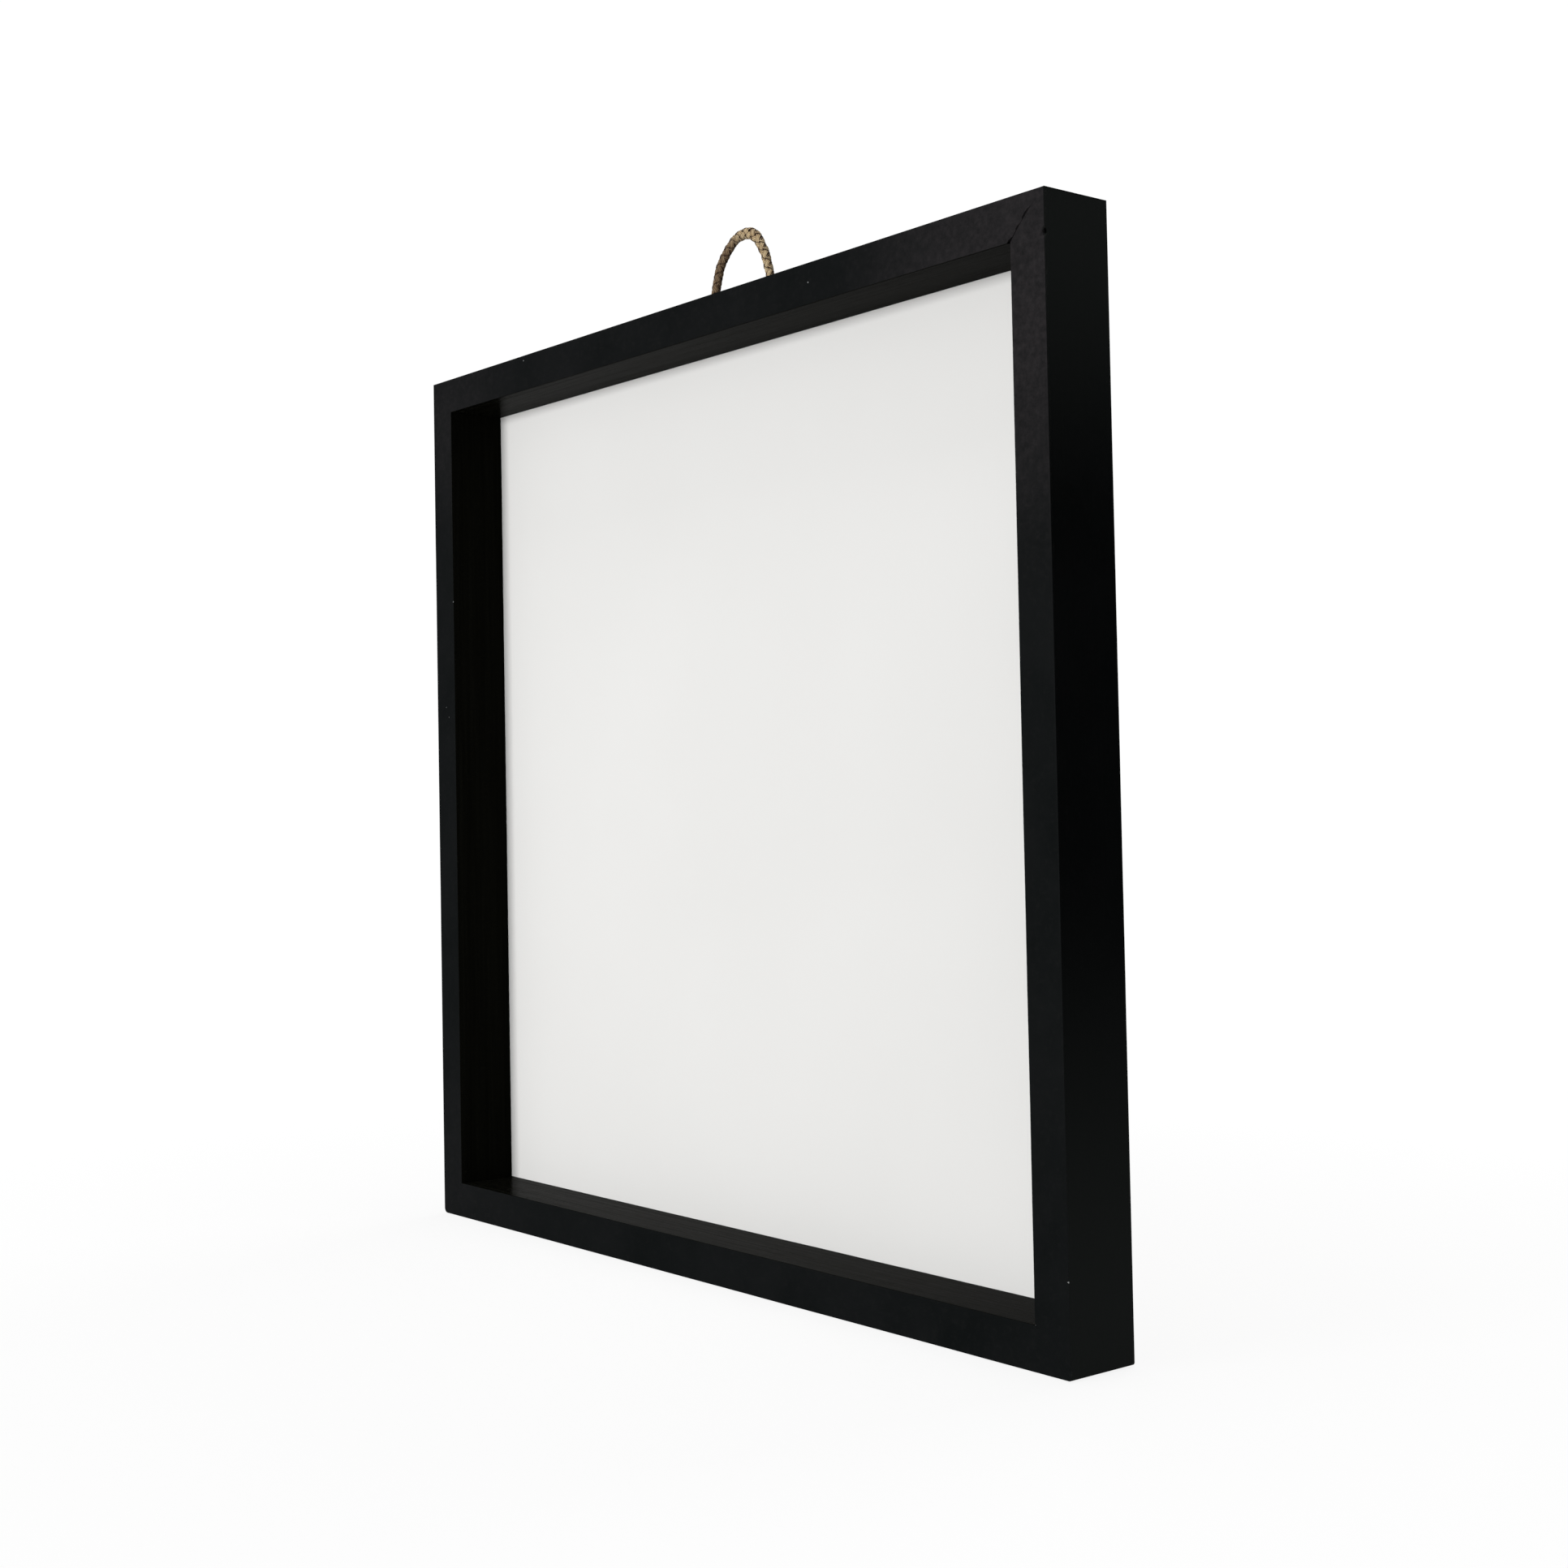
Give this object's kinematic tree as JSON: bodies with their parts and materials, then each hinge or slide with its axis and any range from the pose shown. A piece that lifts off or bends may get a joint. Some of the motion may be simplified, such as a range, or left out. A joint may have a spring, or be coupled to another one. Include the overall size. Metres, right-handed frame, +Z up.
{
  "type": "shadow box",
  "caption": "Square open-fronted black wooden shadow box frame with a recessed white display panel, a back held by turn buttons, and a cord loop to hang it by.",
  "frame": {"origin": "middle of the underside of the bottom rail, half way through the rails' depth", "axes": "+X to the right seen from the front, +Y from the open front to the back, +Z up"},
  "size_m": [0.5, 0.0458, 0.545],
  "materials": {
    "black_paint": "satin black paint over planed softwood",
    "white_card": "matt white mount board",
    "hardboard": "brown hardboard, rough side out",
    "nail_steel": "bright steel",
    "button_brass": "brass-plated steel, satin",
    "screw_brass": "brass-plated steel",
    "jute": "braided natural fibre",
    "staple_steel": "galvanised wire"
  },
  "bodies": {
    "frame": {"top_rail": "black_paint", "bottom_rail": "black_paint", "left_stile": "black_paint", "right_stile": "black_paint", "display_card": "white_card", "backing_board": "hardboard", "corner_v_nails": "nail_steel", "turn_button_screws": "screw_brass", "hanging_cord": "jute", "cord_staples": "staple_steel"},
    "turn_button_top_left": {"turn_button_top_left": "button_brass"},
    "turn_button_top_right": {"turn_button_top_right": "button_brass"},
    "turn_button_right_upper": {"turn_button_right_upper": "button_brass"},
    "turn_button_right_lower": {"turn_button_right_lower": "button_brass"},
    "turn_button_bottom_right": {"turn_button_bottom_right": "button_brass"},
    "turn_button_bottom_left": {"turn_button_bottom_left": "button_brass"},
    "turn_button_left_lower": {"turn_button_left_lower": "button_brass"},
    "turn_button_left_upper": {"turn_button_left_upper": "button_brass"}
  },
  "joints": [
    {"name": "turn_button_top_left_swing", "type": "hinge", "parent": "frame", "child": "turn_button_top_left", "pos_m": [-0.15, 0.02075, 0.493], "axis": [0, 1, 0], "range_deg": [-90, 90]},
    {"name": "turn_button_top_right_swing", "type": "hinge", "parent": "frame", "child": "turn_button_top_right", "pos_m": [0.15, 0.02075, 0.493], "axis": [0, 1, 0], "range_deg": [-90, 90]},
    {"name": "turn_button_right_upper_swing", "type": "hinge", "parent": "frame", "child": "turn_button_right_upper", "pos_m": [0.243, 0.02075, 0.4], "axis": [0, 1, 0], "range_deg": [-90, 90]},
    {"name": "turn_button_right_lower_swing", "type": "hinge", "parent": "frame", "child": "turn_button_right_lower", "pos_m": [0.243, 0.02075, 0.1], "axis": [0, 1, 0], "range_deg": [-90, 90]},
    {"name": "turn_button_bottom_right_swing", "type": "hinge", "parent": "frame", "child": "turn_button_bottom_right", "pos_m": [0.15, 0.02075, 0.007], "axis": [0, 1, 0], "range_deg": [-90, 90]},
    {"name": "turn_button_bottom_left_swing", "type": "hinge", "parent": "frame", "child": "turn_button_bottom_left", "pos_m": [-0.15, 0.02075, 0.007], "axis": [0, 1, 0], "range_deg": [-90, 90]},
    {"name": "turn_button_left_lower_swing", "type": "hinge", "parent": "frame", "child": "turn_button_left_lower", "pos_m": [-0.243, 0.02075, 0.1], "axis": [0, 1, 0], "range_deg": [-90, 90]},
    {"name": "turn_button_left_upper_swing", "type": "hinge", "parent": "frame", "child": "turn_button_left_upper", "pos_m": [-0.243, 0.02075, 0.4], "axis": [0, 1, 0], "range_deg": [-90, 90]}
  ]
}
